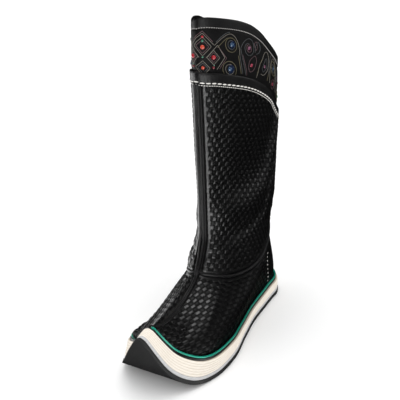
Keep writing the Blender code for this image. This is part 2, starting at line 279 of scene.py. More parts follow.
def collarPoint(angle, rise, depth):
    high = boot["collarTop"] - boot["collarTall"] * (1 - rise)
    return legPoint(angle, rimUp(angle, high, boot["rimDrop"]), depth)


def cuffUp(angle, front):                              # the cuff dips on the right beside the front seam
    dip = boot["cuffDip"] * bell(degreesFrom(angle, boot["cuffDipAt"]), 0, boot["cuffDipWide"])
    return rimUp(angle, front, boot["linerDrop"], linerRim) - dip


def linerPoint(angle, rise, depth):
    high = boot["linerTop"] - boot["bindingTall"] - boot["gap"]
    return legPoint(angle, cuffUp(angle, high - boot["linerTall"] * (1 - rise)), depth)


def bindingPoint(angle, rise, depth):
    high = boot["linerTop"] - boot["bindingTall"] * (1 - rise)
    return legPoint(angle, cuffUp(angle, high), depth)


# mesh helpers
def toMetres(points):
    forward, across, up = np.moveaxis(np.asarray(points), -1, 0)
    return np.stack([across + boot["side"], boot["middle"] - forward, up], axis=-1) * 0.001


def unit(v):
    return v / np.maximum(np.linalg.norm(v, axis=-1, keepdims=True), 1e-12)


def newShape():
    bm = bmesh.new()
    bm.verts.layers.float.new("jointsAndShade")
    return bm


def layGrid(bm, points, jointsAndShade=None, inside=None):     # a grid carried to an array of places
    nx, ny = points.shape[:2]
    verts = bmesh.ops.create_grid(bm, x_segments=nx - 1, y_segments=ny - 1, size=0.5)["verts"]
    flat = np.array([v.co[:2] for v in verts]) + 0.5
    i = np.rint(flat[:, 0] * (nx - 1)).astype(int)
    j = np.rint(flat[:, 1] * (ny - 1)).astype(int)
    layer = bm.verts.layers.float["jointsAndShade"]
    shade = np.ones((nx, ny)) if jointsAndShade is None else jointsAndShade
    for vert, place, value in zip(verts, toMetres(points)[i, j], shade[i, j]):
        vert.co = place
        vert[layer] = value
    if inside is not None:                             # rows of the grid that belong to the lining
        lining = {v for v, row in zip(verts, j) if inside[row]}
        for face in bm.faces:
            if all(v in lining for v in face.verts):
                face.material_index = 1


weld = {"merge": 8e-6, "sliver": 5e-7}                 # metres


def finishPiece(bm, name, looks, node=None, sharp=None):
    bmesh.ops.remove_doubles(bm, verts=list(bm.verts), dist=weld["merge"])
    bmesh.ops.dissolve_degenerate(bm, edges=list(bm.edges), dist=weld["sliver"])
    ends = [edge for edge in bm.edges if edge.is_boundary]
    if ends:                                           # the ends of a panel, hidden in its seams
        bmesh.ops.holes_fill(bm, edges=ends, sides=0)
    bmesh.ops.recalc_face_normals(bm, faces=list(bm.faces))
    for face in bm.faces:
        face.smooth = True
    for edge in ends:
        edge.smooth = False
    mesh = bpy.data.meshes.new(name)
    bm.to_mesh(mesh)
    bm.free()
    for look in looks:
        mesh.materials.append(look)
    if sharp:
        mesh.set_sharp_from_angle(angle=math.radians(sharp))
    piece = bpy.data.objects.new(name, mesh)
    scene.collection.objects.link(piece)
    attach(piece, "root")
    if node:
        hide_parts(node)


def turnRound(columns, crowd=0.25):                    # angles round the leg, closer together at the front
    t = np.linspace(0, 1, columns + 1)
    return 2 * math.pi * t - crowd * np.sin(2 * math.pi * t)


def spread(surface, angles, climb, depth):
    a, r = np.meshgrid(angles, climb, indexing="ij")
    return np.stack(surface(a, r, depth), axis=-1)


def outward(points, side):                             # unit normals of a panel, mirrored past its seams
    ring = np.concatenate([points[1:2], points, points[-2:-1]], axis=0)
    ring[[0, -1], :, 1] *= -1
    return unit(np.cross(ring[2:] - ring[:-2], np.gradient(points, axis=1))) * side


def roundLength(points):                               # distance from the front seam along each row
    steps = np.linalg.norm(np.diff(points, axis=0), axis=-1)
    return np.concatenate([np.zeros((1, points.shape[1])), np.cumsum(steps, axis=0)], axis=0)


seamColumns = {"wide": 6.0, "first": 0.0004, "last": 0.9998}


def panelAngles(surface, rise, columns, crowd):        # columns round half the leg, closer at the front
    fine = np.linspace(0, math.pi, 1601)
    length = roundLength(np.stack(surface(fine, np.full(fine.shape, rise), 0.0), axis=-1)[:, None])[:, 0]
    weight = 1 + crowd * bell(length, 0, seamColumns["wide"])
    share = np.concatenate([[0], np.cumsum((weight[1:] + weight[:-1]) / 2 * np.diff(length))])
    spots = np.linspace(seamColumns["first"], seamColumns["last"], columns + 1)
    return np.interp(spots * share[-1], share, fine)


def riseLength(points):                                # distance up each column
    steps = np.linalg.norm(np.diff(points, axis=1), axis=-1)
    return np.concatenate([np.zeros((len(points), 1)), np.cumsum(steps, axis=1)], axis=1)


def tube(bm, path, normal, radius, sides=10, closed=False):
    path = np.asarray(path, dtype=float)
    radius = np.full(len(path), float(radius))
    if closed:
        tangent = unit(np.roll(path, -1, axis=0) - np.roll(path, 1, axis=0))
    else:                                              # ends drawn in to a round nose
        tangent = unit(np.gradient(path, axis=0))
        nose, neck = radius[0] * np.array([[1.0], [0.8]]), radius[0] * 0.6
        path = np.concatenate([path[:1] - tangent[:1] * nose, path, path[-1:] + tangent[-1:] * nose[::-1]])
        tangent = np.concatenate([tangent[:1]] * 2 + [tangent] + [tangent[-1:]] * 2)
        normal = np.concatenate([normal[:1]] * 2 + [normal] + [normal[-1:]] * 2)
        radius = np.concatenate([[0, neck], radius, [neck, 0]])
    side = unit(np.cross(tangent, normal))
    normal = unit(np.cross(side, tangent))
    turn = np.linspace(0, 2 * math.pi, sides + 1)[None, :, None]
    reach = radius[:, None, None]
    points = path[:, None] + reach * (np.cos(turn) * side[:, None] + np.sin(turn) * normal[:, None])
    if closed:
        points = np.concatenate([points, points[:1]])
    layGrid(bm, points)


def evenly(path, pitch, closed=False):                 # places along a line at an even pitch
    path = np.asarray(path, dtype=float)
    if closed:
        path = np.concatenate([path, path[:1]])
    length = lengthAlong(path)
    count = max(int(round(length[-1] / pitch)), 2)
    spot = np.linspace(0, length[-1], count + 1)
    spot = spot[:-1] if closed else spot
    return np.stack([np.interp(spot, length, path[:, k]) for k in range(path.shape[1])], axis=-1)


def addPill(bm, place, tangent, normal, size, segments=(8, 6)):
    tangent = unit(np.asarray(tangent))
    side = unit(np.cross(normal, tangent))
    lift = np.cross(tangent, side)
    origin, ends = toMetres(place), [toMetres(place + v * s) for v, s in zip((tangent, side, lift), size)]
    frameOf = Matrix.Identity(4)
    for k, end in enumerate(ends):
        frameOf.col[k][:3] = end - origin
    frameOf.translation = origin
    bmesh.ops.create_uvsphere(bm, u_segments=segments[0], v_segments=segments[1], radius=1.0, matrix=frameOf)


# materials
def newLook(name, colour, roughness, **sockets):
    look = bpy.data.materials.new(name)
    look.use_nodes = True
    shader = look.node_tree.nodes["Principled BSDF"]
    shader.inputs["Base Color"].default_value = (*colour, 1.0)
    shader.inputs["Roughness"].default_value = roughness
    for socket, value in sockets.items():
        shader.inputs[socket.replace("_", " ")].default_value = value
    return look


def addNode(look, kind, links=None, **values):
    tree = look.node_tree
    node = tree.nodes.new("ShaderNode" + kind)
    for name, value in values.items():
        if name in node.inputs:
            node.inputs[name].default_value = value
        else:
            setattr(node, name, value)
    for name, source in (links or {}).items():
        tree.links.new(source, node.inputs[name])
    return node


def objectPlace(look, scale=(1, 1, 1)):
    where = addNode(look, "TexCoord").outputs["Object"]
    return addNode(look, "Mapping", {"Vector": where}, Scale=scale).outputs["Vector"]


def remap(look, source, low, high, fromLow=0.0, fromHigh=1.0):
    node = addNode(look, "MapRange", {"Value": source})
    for name, value in zip(("From Min", "From Max", "To Min", "To Max"), (fromLow, fromHigh, low, high)):
        node.inputs[name].default_value = value
    return node.outputs["Result"]


def feed(look, socket, value):                         # a link, a colour or a number
    if isinstance(value, bpy.types.NodeSocket):
        look.node_tree.links.new(value, socket)
    else:
        socket.default_value = (*value, 1.0) if isinstance(value, tuple) else value


def blendColour(look, share, first, second):
    node = addNode(look, "Mix", data_type="RGBA")
    for k, value in ((0, share), (6, first), (7, second)):
        feed(look, node.inputs[k], value)
    return node.outputs[2]


def mathNode(look, operation, first, second):
    node = addNode(look, "Math", operation=operation)
    for k, value in enumerate((first, second)):
        feed(look, node.inputs[k], value)
    return node.outputs[0]


def noise(look, where, scale, detail, rough=0.5):
    sockets = {"Scale": scale, "Detail": detail, "Roughness": rough}
    return addNode(look, "TexNoise", {"Vector": where}, **sockets).outputs["Fac"]


def reliefShade(look):
    return addNode(look, "Attribute", attribute_name="jointsAndShade").outputs["Fac"]


def setSocket(look, socket, source):
    look.node_tree.links.new(source, look.node_tree.nodes["Principled BSDF"].inputs[socket])


def addBump(look, height, strength, distance, under=None):
    node = addNode(look, "Bump", {"Height": height}, Strength=strength, Distance=distance)
    if under:
        look.node_tree.links.new(under.outputs["Normal"], node.inputs["Normal"])
    setSocket(look, "Normal", node.outputs["Normal"])
    return node


leathers = {
    "weaveLeather": {
        "dark": (0.003, 0.003, 0.0031), "light": (0.009, 0.009, 0.0092),
        "rough": 0.3, "shine": 1.0, "coat": 0.5, "grain": 1500.0,
    },
    "smoothLeather": {
        "dark": (0.005, 0.005, 0.0052), "light": (0.0135, 0.0133, 0.0137),
        "rough": 0.36, "shine": 0.55, "coat": 0.25, "grain": 1300.0,
    },
    "panelLeather": {
        "dark": (0.0032, 0.0032, 0.0035), "light": (0.0095, 0.0092, 0.0095),
        "rough": 0.5, "shine": 0.22, "coat": 0.05, "grain": 1100.0,
    },
}
hide = {"cloud": 55.0, "scuff": 0.07, "joinRough": 0.16, "joinShine": 0.15, "bright": 0.75, "pores": 0.35}


def leatherLook(name, dark, light, rough, shine, coat, grain):
    look = newLook(name, dark, rough, Coat_Roughness=0.22)
    where = objectPlace(look)
    jointsAndShade = reliefShade(look)
    cloud = noise(look, where, hide["cloud"], 5.0, 0.6)
    cells = addNode(look, "TexVoronoi", {"Vector": where}, Scale=grain, Randomness=0.9).outputs["Distance"]
    fine = noise(look, where, grain * 2.4, 3.0)
    # leather colour follows the attribute of painted shade and highlight: darker on the under cells, in the
    # grooves and dull zones, lighter on the brick tops, sheen bands and hem; the cloud adds random tone
    setSocket(look, "Base Color", blendColour(look, mathNode(look, "MULTIPLY", jointsAndShade, cloud), dark, light))
    scuffs = remap(look, cloud, -hide["scuff"], hide["scuff"], 0.3, 0.7)
    worn = mathNode(look, "ADD", scuffs, remap(look, jointsAndShade, rough + hide["joinRough"], rough))
    setSocket(look, "Roughness", worn)
    gloss = remap(look, jointsAndShade, hide["joinShine"] * shine, shine, 0.0, hide["bright"])
    setSocket(look, "Specular IOR Level", gloss)       # the joins stay dull
    setSocket(look, "Coat Weight", remap(look, jointsAndShade, 0.0, coat, 0.0, hide["bright"]))
    under = addBump(look, fine, hide["pores"] * 0.5, 0.00012)
    addBump(look, cells, hide["pores"], 0.00025, under)
    return look


weaveLeather, smoothLeather, panelLeather = (leatherLook(name, **sizes) for name, sizes in leathers.items())
cloths = {
    "liningCloth": {
        "dark": (0.02, 0.019, 0.018), "light": (0.04, 0.038, 0.036),
        "rough": 0.85, "thread": 900.0, "bump": 0.5,
    },
    "insoleFelt": {
        "dark": (0.16, 0.13, 0.1), "light": (0.24, 0.2, 0.155),
        "rough": 0.9, "thread": 700.0, "bump": 0.6,
    },
}


def clothLook(name, dark, light, rough, thread, bump):
    look = newLook(name, dark, rough, Specular_IOR_Level=0.25)
    where = objectPlace(look)
    cloud = noise(look, where, 40.0, 6.0, 0.65)
    fibre = noise(look, where, thread, 5.0, 0.7)
    setSocket(look, "Base Color", blendColour(look, remap(look, cloud, 0.0, 1.0, 0.32, 0.68), dark, light))
    addBump(look, fibre, bump, 0.0005)
    return look


liningCloth, insoleFelt = (clothLook(name, **sizes) for name, sizes in cloths.items())
felts = {
    "creamFelt": {
        "groove": (0.57, 0.5, 0.41), "light": (0.82, 0.765, 0.69), "warm": (0.79, 0.725, 0.635),
        "rough": 0.82,
    },
    "greyFelt": {
        "groove": (0.36, 0.355, 0.35), "light": (0.56, 0.56, 0.56), "warm": (0.47, 0.47, 0.475),
        "rough": 0.75,
    },
}


def feltLook(name, groove, light, warm, rough):        # stacked layers, darker in the joins
    look = newLook(name, light, rough, Specular_IOR_Level=0.2)
    where = objectPlace(look)
    streak = noise(look, objectPlace(look, (1, 1, 7)), 110.0, 5.0)
    fibre = noise(look, where, 1300.0, 4.0, 0.7)
    tone = blendColour(look, remap(look, streak, 0.0, 1.0, 0.35, 0.65), light, warm)
    layered = remap(look, reliefShade(look), 0.0, 1.0, 0.0, 0.8)
    setSocket(look, "Base Color", blendColour(look, layered, groove, tone))
    under = addBump(look, fibre, 0.35, 0.0003)
    addBump(look, streak, 0.25, 0.0004, under)
    return look


creamFelt, greyFelt = (feltLook(name, **sizes) for name, sizes in felts.items())
rubber = {
    "base": (0.02, 0.02, 0.0205), "dark": (0.017, 0.017, 0.0175), "light": (0.031, 0.031, 0.031),
    "rough": 0.72, "roughSpan": (0.62, 0.82),
}


def rubberLook():
    look = newLook("outsoleRubber", rubber["base"], rubber["rough"], Specular_IOR_Level=0.35)
    where = objectPlace(look)
    dust = noise(look, where, 70.0, 7.0, 0.7)
    grit = noise(look, where, 1500.0, 3.0)
    setSocket(look, "Base Color", blendColour(look, dust, rubber["dark"], rubber["light"]))
    setSocket(look, "Roughness", remap(look, dust, *rubber["roughSpan"]))
    addBump(look, grit, 0.4, 0.0004)
    return look


outsoleRubber = rubberLook()
threads = {
    "tealCord": {
        "colour": (0.02, 0.52, 0.37), "deep": (0.008, 0.3, 0.2),
        "rough": 0.28, "coat": 1.0, "Metallic": 0.45,
    },
    "whiteThread": {"colour": (0.86, 0.84, 0.8), "deep": (0.7, 0.68, 0.64), "rough": 0.6, "coat": 0.0},
    "greyThread": {"colour": (0.40, 0.39, 0.375), "deep": (0.26, 0.25, 0.24), "rough": 0.6, "coat": 0.0},
}


def cordLook(name, colour, deep, rough, coat, turns=900.0, **sockets):
    look = newLook(name, colour, rough, Coat_Weight=coat, Coat_Roughness=0.12, **sockets)
    where = objectPlace(look)
    cloud = noise(look, where, 120.0, 4.0)
    rib = noise(look, where, turns, 2.0)
    setSocket(look, "Base Color", blendColour(look, cloud, deep, colour))
    addBump(look, rib, 0.25, 0.0002)
    return look


tealCord, whiteThread, greyThread = (cordLook(name, **sizes) for name, sizes in threads.items())
print("materials ready")

# sole layers, each swept round its rim
soleParts = {
    "outsole": {"inset": 0.0, "edge": 0.7},
    "base": {"inset": 0.8, "edge": 0.5},
    "midsole": {"inset": 0.5, "layers": 6, "groove": 0.5, "bulge": 0.5},
    "welt": {"inset": boot["weltInset"], "edge": 0.8},
}
gap = boot["gap"]


def soleStations(inset):
    end, tip = boot["soleLength"] - boot["tipPull"] * inset, boot["tipNose"]
    turn = np.linspace(0, math.pi / 2, 26)
    heel = inset + (boot["heelRadius"] - inset) * (1 - np.cos(turn))
    flat = np.linspace(boot["heelRadius"], boot["flatTo"], 44)[1:]
    curled = np.linspace(boot["flatTo"], end - tip, 74)[1:]
    nose = end - tip + tip * np.sin(np.linspace(0, math.pi / 2, 9))[1:]
    return np.concatenate([heel, flat, curled, nose])


# a layer with a number of others below it, and profile rows of share of the height, inset and shade
def soleLayer(below, profile):
    loops, shades = [], []
    for side in (1, -1):
        for share, inset, shade in profile[::side]:
            along = soleStations(inset)
            nose = np.sqrt(1 - np.clip((along - along[-1] + boot["tipNose"]) / boot["tipNose"], 0, 1) ** 2)
            across = side * halfWidth(along, inset) * nose - swing(along)
            bottom = stackTop(along, below) + (gap / 3 if below else 0.0)  # a third of a gap between layers
            top = stackTop(along, below + 1) if below < 3 else weltTop(along)
            level = bottom + (top - bottom) * share
            loops.append(np.stack(solePoint(along, across, level), axis=-1))
            shades.append(np.full(len(along), shade))
    points = np.stack(loops + loops[:1], axis=1)
    bm = newShape()
    layGrid(bm, points, np.stack(shades + shades[:1], axis=1))
    return bm


def plainEdge(inset, edge, tall=0.14):
    turn = np.radians([0, 22, 45, 67, 90])
    low = [(tall * (1 - math.cos(t)), inset + edge * (1 - math.sin(t)), 1.0) for t in turn]
    return low + [(1 - share, depth, shade) for share, depth, shade in low[::-1]]


def layeredEdge(inset, layers, groove, bulge):
    rows = []
    for k in range(layers):
        for part in (0.0, 0.1, 0.25, 0.5, 0.75, 0.9):
            share = (k + part) / layers
            dip = abs(2 * part - 1) ** 6
            rows.append((share, inset + groove * dip + bulge * (2 * share - 1) ** 4, 1 - dip))
    return rows + [(1.0, inset + groove + bulge, 0.0)]


soleStack = [
    # name, node, look, rim, degrees at which an edge is sharp
    ("outsolePiece", "outsole", outsoleRubber, plainEdge(**soleParts["outsole"]), 50),
    ("baseStripPiece", "base_strip", greyFelt, plainEdge(**soleParts["base"]), 50),
    ("midsolePiece", "midsole", creamFelt, layeredEdge(**soleParts["midsole"]), 70),
    ("weltPiece", "welt", smoothLeather, plainEdge(**soleParts["welt"]), 60),
]
for below, (name, node, look, profile, sharp) in enumerate(soleStack):
    finishPiece(soleLayer(below, profile), name, [look], node, sharp)
print("sole layers done")

# insole with a rounded rim, charted by share of the thickness and inset
insole = {
    "inset": 11.6, "end": 246.0, "nose": 46.0, "thick": 3.0, "sharp": 60,
    "rim": ((0, 0.3), (0.4, 0), (0.7, 0.2), (0.92, 0.7), (1, 1.6)),
}


def insoleHalf(along):
    nose = np.clip((along - insole["end"] + insole["nose"]) / insole["nose"], 0, 1)
    return halfWidth(along, insole["inset"]) * np.sqrt(1 - nose ** 2)


turn = np.linspace(0, math.pi / 2, 16)
stations = np.concatenate([
    insole["inset"] + (boot["heelRadius"] - insole["inset"]) * (1 - np.cos(turn)),
    np.linspace(boot["heelRadius"], insole["end"] - insole["nose"], 30)[1:],
    insole["end"] - insole["nose"] + insole["nose"] * np.sin(turn)[1:],
])
loops = []
for side in (1, -1):
    for lift, pull in insole["rim"][::side]:
        half = np.maximum(insoleHalf(stations) - pull, 0)
        level = weltTop(stations) + gap + insole["thick"] * lift
        loops.append(np.stack(solePoint(stations, side * half - swing(stations), level), axis=-1))
bm = newShape()
layGrid(bm, np.stack(loops + loops[:1], axis=1))
finishPiece(bm, "insolePiece", [insoleFelt], "insole", insole["sharp"])

# green cord round the lower edge of the vamp
piping = {
    "inset": 4.1, "radius": 1.25, "lift": 1.3, "pitch": 1.6,
    "tuckFrom": 274.0, "tuckTo": 244.0, "tuck": 5.5, "tuckFade": 3.0, "sink": 1.5,
}
path, along, part = edgeLine(piping["inset"])
slope = np.interp(along, walk, tilt)
level = np.stack([-np.sin(slope), 0 * slope, np.cos(slope)], axis=-1)
path = path + level * (piping["lift"] + gap)
far = path[::-1] * np.array([1.0, -1.0, 1.0])
path[:, 1] -= swing(along)
far[:, 1] -= swing(along[::-1])
# at the right of the tip the cord goes under the leather
tuck = piping["tuck"] * fadeIn(piping["tuckTo"], piping["tuckFrom"], along[::-1])
far[:, 1] += tuck * fadeIn(0, piping["tuckFade"], -far[:, 1])
far -= level[::-1] * (piping["sink"] * tuck / piping["tuck"])[:, None]
loop = np.concatenate([path, far[1:-1]])
level = np.concatenate([level, level[::-1][1:-1]])
loop = evenly(np.concatenate([loop, level], axis=1), piping["pitch"], closed=True)
bm = newShape()
tube(bm, loop[:, :3], loop[:, 3:], piping["radius"], sides=12, closed=True)
finishPiece(bm, "edgePipingPiece", [tealCord], "edge_piping")
print("green piping done")

# basket weave pressed into the leather
weave = {
    "high": 0.8, "sunk": 0.36, "under": 0.32, "wide": 0.97, "square": 8, "dip": (3, 1.4),
    # dark and underShade: painted shade on the under cells
    "dark": 0.08, "underShade": 0.25,
}


def plainWeave(u, v, long):                            # over one, under one: height, and shade of the tops, with painted shade on the under cells
    du, dv = np.abs(2 * (u - np.floor(u)) - 1), np.abs(2 * (v - np.floor(v)) - 1)
    over = (np.floor(u) + np.floor(v)) % 2 < 0.5
    along = np.where(over, du, 2 - du) / long          # bricks reach a little way over their neighbours
    ends = np.clip(1 - along ** weave["square"], 0, 1)
    proud = ends * np.clip(1 - (dv / weave["wide"]) ** weave["square"], 0, 1)
    low = weave["under"] * (1 - du ** weave["dip"][0]) * (1 - dv ** weave["dip"][1])
    return np.maximum(proud, low), np.maximum(proud, weave["dark"] + weave["underShade"] * low)


def layWeave(points, heading):                         # even distances along and across the strands
    normal = unit(np.cross(np.gradient(points, axis=0), np.gradient(points, axis=1)))
    strand = unit(heading - normal * (normal @ heading)[..., None])
    sideways = np.cross(normal, strand)
    index = np.arange(points[..., 0].size).reshape(points.shape[:2])
    pull = np.zeros((index.size, index.size))
    wanted = np.zeros((index.size, 2))
    for cut in ((np.s_[:-1], np.s_[1:]), (np.s_[:, :-1], np.s_[:, 1:])):
        a, b = index[cut[0]].ravel(), index[cut[1]].ravel()
        step = points[cut[1]] - points[cut[0]]
        weight = 1 / np.maximum(np.linalg.norm(step, axis=-1), 0.2).ravel()
        np.add.at(pull, (a, a), weight)
        np.add.at(pull, (b, b), weight)
        np.add.at(pull, (a, b), -weight)
        np.add.at(pull, (b, a), -weight)
        for k, way in enumerate((strand, sideways)):
            share = (step * (way[cut[0]] + way[cut[1]]) / 2).sum(axis=-1).ravel() * weight
            np.add.at(wanted[:, k], b, share)
            np.add.at(wanted[:, k], a, -share)
    pull[0, 0] += 1.0
    return np.linalg.solve(pull, wanted).reshape(*points.shape[:2], 2)


def refine(grid, angles, climb, newAngles, newClimb):
    half = np.stack([np.interp(newAngles, angles, column) for column in grid.T], axis=-1)
    return np.stack([np.interp(newClimb, climb, row) for row in half])


def weaveOver(surface, side, angles, climb, panel):    # height and shade of the weave all over a panel
    coarse, levels = np.linspace(0, math.pi, 61), np.linspace(climb[0], climb[-1], 18)
    laid = layWeave(spread(surface, side * coarse, levels, 0.0), np.array(panel["heading"], dtype=float))
    u, v = (refine(laid[..., k], coarse, levels, angles, climb) for k in (0, 1))
    c, s = math.cos(math.radians(panel["lean"])), math.sin(math.radians(panel["lean"]))
    long, wide = panel["cell"]
    return plainWeave((u * c + v * s) / long, (v * c - u * s) / wide, panel["brick"])


def weaveMask(panel, d, below, fromTop):               # where a panel is woven: 1, and 0 along its edges
    mask = fadeIn(*panel["weaveFrom"], d)
    return mask * fadeIn(*panel["weaveTop"], fromTop) * fadeIn(*panel["weaveFoot"], below)


def humps(x, panel, *names):                           # ridges and grooves by place, width and height
    return sum(high * bell(x, at, wide) for at, wide, high in (panel[name] for name in names))


def softDents(points, size, phase):                    # slow hand-made unevenness, 0.4 mm or so
    f, m, u = np.moveaxis(points, -1, 0)
    wave = np.sin(f / 23 + m / 31 + phase) + np.sin(u / 19 - m / 27 + 2.1 * phase)
    return size * (wave + np.sin(f / 37 - u / 29 + phase / 2)) / 3


creaseRoll = {"high": 0.55, "at": 2.0, "wide": 0.9}


def creaseRelief(angle, up, creases):                  # soft troughs with a low roll on each side
    total = np.zeros(np.broadcast(angle, up).shape)
    for at, height, reach, wide, deep, slant in zip(*creases.values()):
        away = degreesFrom(angle, at) / reach
        hold = np.clip(1 - away ** 2, 0, 1) ** 2
        d = (up - height - slant * away) / wide
        roll = creaseRoll["high"] * bell(np.abs(d), creaseRoll["at"], creaseRoll["wide"])
        total += hold * deep * (roll - np.exp(-d ** 2))
    return total


def wallPanels(surface, angles, climb, reliefAndShadeOf, node, innerRows=12):
    for side, word in ((1, "Left"), (-1, "Right")):
        points = spread(surface, side * angles, climb, 0.0)
        height, shade = reliefAndShadeOf(points, side)
        outer = points + outward(points, side) * height[..., None]
        inner = spread(surface, side * angles, np.linspace(climb[-1], climb[0], innerRows), boot["wall"])
        grid = np.concatenate([outer, inner, outer[:, :1]], axis=1)
        shades = np.concatenate([shade, np.ones(inner.shape[:2]), shade[:, :1]], axis=1)
        inside = [len(climb) <= row < len(climb) + innerRows for row in range(grid.shape[1])]
        bm = newShape()
        layGrid(bm, grid, shades, inside)
        finishPiece(bm, node + "Panel" + word, [weaveLeather, liningCloth], node)


# vamp: two halves sewn at a middle ridge, with a smooth counter at the heel
vamp = {
    "columns": 440, "rows": 176, "crowd": 2.4, "foot": 0.006, "footFade": (-1.5, 2.0),
    "heading": (-1, 0, 0), "lean": -17.0, "cell": (6.3, 5.0), "brick": 1.22, "plainShade": 0.75,
    "weaveFrom": (3.1, 4.5), "weaveTop": (2.0, 4.5), "weaveFoot": (1.0, 3.0),
    "dents": 0.4, "dentPhase": 1.3, "dentFade": (2, 14), "creaseFade": (3, 12),
    # place, width and height of each ridge and groove, and of the painted shade along the seam groove (dark)
    "ridge": (0.8, 0.9, 0.7), "split": (0, 0.6, -0.4), "groove": (2.7, 0.75, -1.1), "dark": (2.7, 0.8, -0.6),
    "roll": (2.2, 1.2, 0.35), "fold": (5.4, 1.5, -0.6), "seamBend": 6.0, "bendFrom": 26.0,
    "counterAt": 46.5, "counterHigh": 0.55, "counterSoft": 0.35, "counterClear": 1.6,
    # painted sheen near the seam, painted shade further round and on the far side
    "sheenTo": 24.0, "shadeFrom": 52.0, "dull": 0.2, "farShade": 0.5,
    "ballAt": 240.0, "ballLong": 46.0, "ball": (4.5, 4.5, 5.0),
}
vampCreases = chart(
    "angle up reach wide deep slant",
    (-52, 84, 34, 3.2, 0.8, -4), (-88, 68, 30, 4.0, 0.6, 3), (70, 70, 30, 4.5, 0.5, -5),
    (118, 72, 26, 4.0, 0.5, 4),
)
vampAngles = panelAngles(vampPoint, 0.5, vamp["columns"], vamp["crowd"])
vampClimb = vamp["foot"] + (1 - vamp["foot"]) * np.linspace(0, 1, vamp["rows"])


def seamBend(below):                                   # the seam swings over at the toe
    return vamp["seamBend"] * (1 - fadeIn(0, vamp["bendFrom"], below))


def vampReliefAndShade(points, side):
    d, below = roundLength(points), riseLength(points)
    fromTop = below[:, -1:] - below
    heel = vamp["counterAt"] - points[..., 0]
    # painted sheen over the instep and painted shade beyond it: lighter colour and more gloss, then darker
    # and duller
    sheenAndShade = 1 - (1 - vamp["dull"]) * fadeIn(vamp["sheenTo"], vamp["shadeFrom"], d)
    d = np.abs(d * side + seamBend(below))
    mask = weaveMask(vamp, d, below, fromTop) * (1 - fadeIn(-vamp["counterClear"], 0.0, heel))
    pressed, tops = weaveOver(vampPoint, side, vampAngles, vampClimb, vamp)
    height = mask * (weave["high"] * pressed - weave["sunk"])
    height += softDents(points, vamp["dents"], vamp["dentPhase"]) * fadeIn(*vamp["dentFade"], below)
    height += humps(d, vamp, "ridge", "groove", "split") + humps(fromTop, vamp, "roll", "fold")
    height += fadeIn(-vamp["counterSoft"], vamp["counterSoft"], heel) * vamp["counterHigh"]
    creased = creaseRelief(side * vampAngles[:, None], points[..., 2], vampCreases)
    height += creased * fadeIn(*vamp["creaseFade"], below)
    if side < 0:                                       # rolled out over the cord at the ball of the foot
        height += humps(below, vamp, "ball") * bell(points[..., 0], vamp["ballAt"], vamp["ballLong"], 4)
        # the far side painted darker and duller, as painted shade
        sheenAndShade = sheenAndShade * vamp["farShade"]
    shade = (mask * tops + (1 - mask) * vamp["plainShade"]) * sheenAndShade
    # the shade gets a painted dark line along the seam groove
    return height * fadeIn(*vamp["footFade"], below), shade + humps(d, vamp, "dark")


wallPanels(vampPoint, vampAngles, vampClimb, vampReliefAndShade, "vamp")
print("vamp done")

# shaft: smooth stay down the front and back, weave on the sides
shaft = {
    "columns": 320, "rows": 256, "crowd": 1.2, "crowdFoot": 1.15,
    "heading": (0, 0, 1), "lean": -18.0, "cell": (5.8, 5.4), "brick": 0.97, "plainShade": 0.2,
    "weaveFrom": (6.2, 7.7), "weaveTop": (2.2, 4.2), "weaveFoot": (2.5, 5.0),
    "dents": 0.45, "dentPhase": 0.4, "creaseFade": (2, 8),
    # place, width and height of each ridge and groove, and of the painted shade along the stay groove (dark)
    "groove": (5.6, 0.8, -0.6), "dark": (5.6, 0.8, -0.6), "split": (0, 0.6, -0.3),
    "roll": (2.4, 1.2, 0.3), "fold": (5.6, 1.6, -0.35),
    "backStay": 9.0, "backClear": (0.2, 1.6), "backHigh": 0.55, "backSoft": 0.4,
    "hemAt": 8.6, "hemWide": 2.3, "hemHigh": 0.35, "hemPlain": 0.7,
    # painted sheen along the rolls and at the front, painted shade elsewhere
    "sheenBands": ((4, 1.0), (-48, 0.7)), "sheenWide": 20.0, "frontSheen": (34.0, 62.0), "dull": 0.2,
}
shaftCreases = chart(
    "angle up reach wide deep slant",
    (-48, 117, 42, 3.4, 0.9, 5), (-64, 131, 40, 4.2, 0.8, -4), (-40, 148, 30, 4.5, 0.5, 3),
    (44, 116, 34, 3.2, 0.55, -4), (62, 133, 34, 4.4, 0.45, 4), (118, 122, 36, 4.6, 0.7, -5),
    (-120, 124, 36, 4.6, 0.7, 5), (160, 138, 40, 5.0, 0.8, 4), (-160, 140, 36, 5.0, 0.8, -3),
)
shaftAngles = panelAngles(shaftPoint, 0.5, shaft["columns"], shaft["crowd"])
shaftClimb = np.linspace(0, 1, shaft["rows"]) ** shaft["crowdFoot"]


def shaftSheenAndShade(angle, up):                            # painted sheen at the front and along the rolls, lighter and glossier; painted shade elsewhere, darker and duller
    away = turned(angle)
    over = up - readChart(rollLine, "angle", "up", away)
    sheenLevel = sum(size * bell(over, at, shaft["sheenWide"]) for at, size in shaft["sheenBands"])
    sheenLevel = np.maximum(sheenLevel, 1 - fadeIn(*shaft["frontSheen"], away))
    return shaft["dull"] + (1 - shaft["dull"]) * np.minimum(sheenLevel, 1)


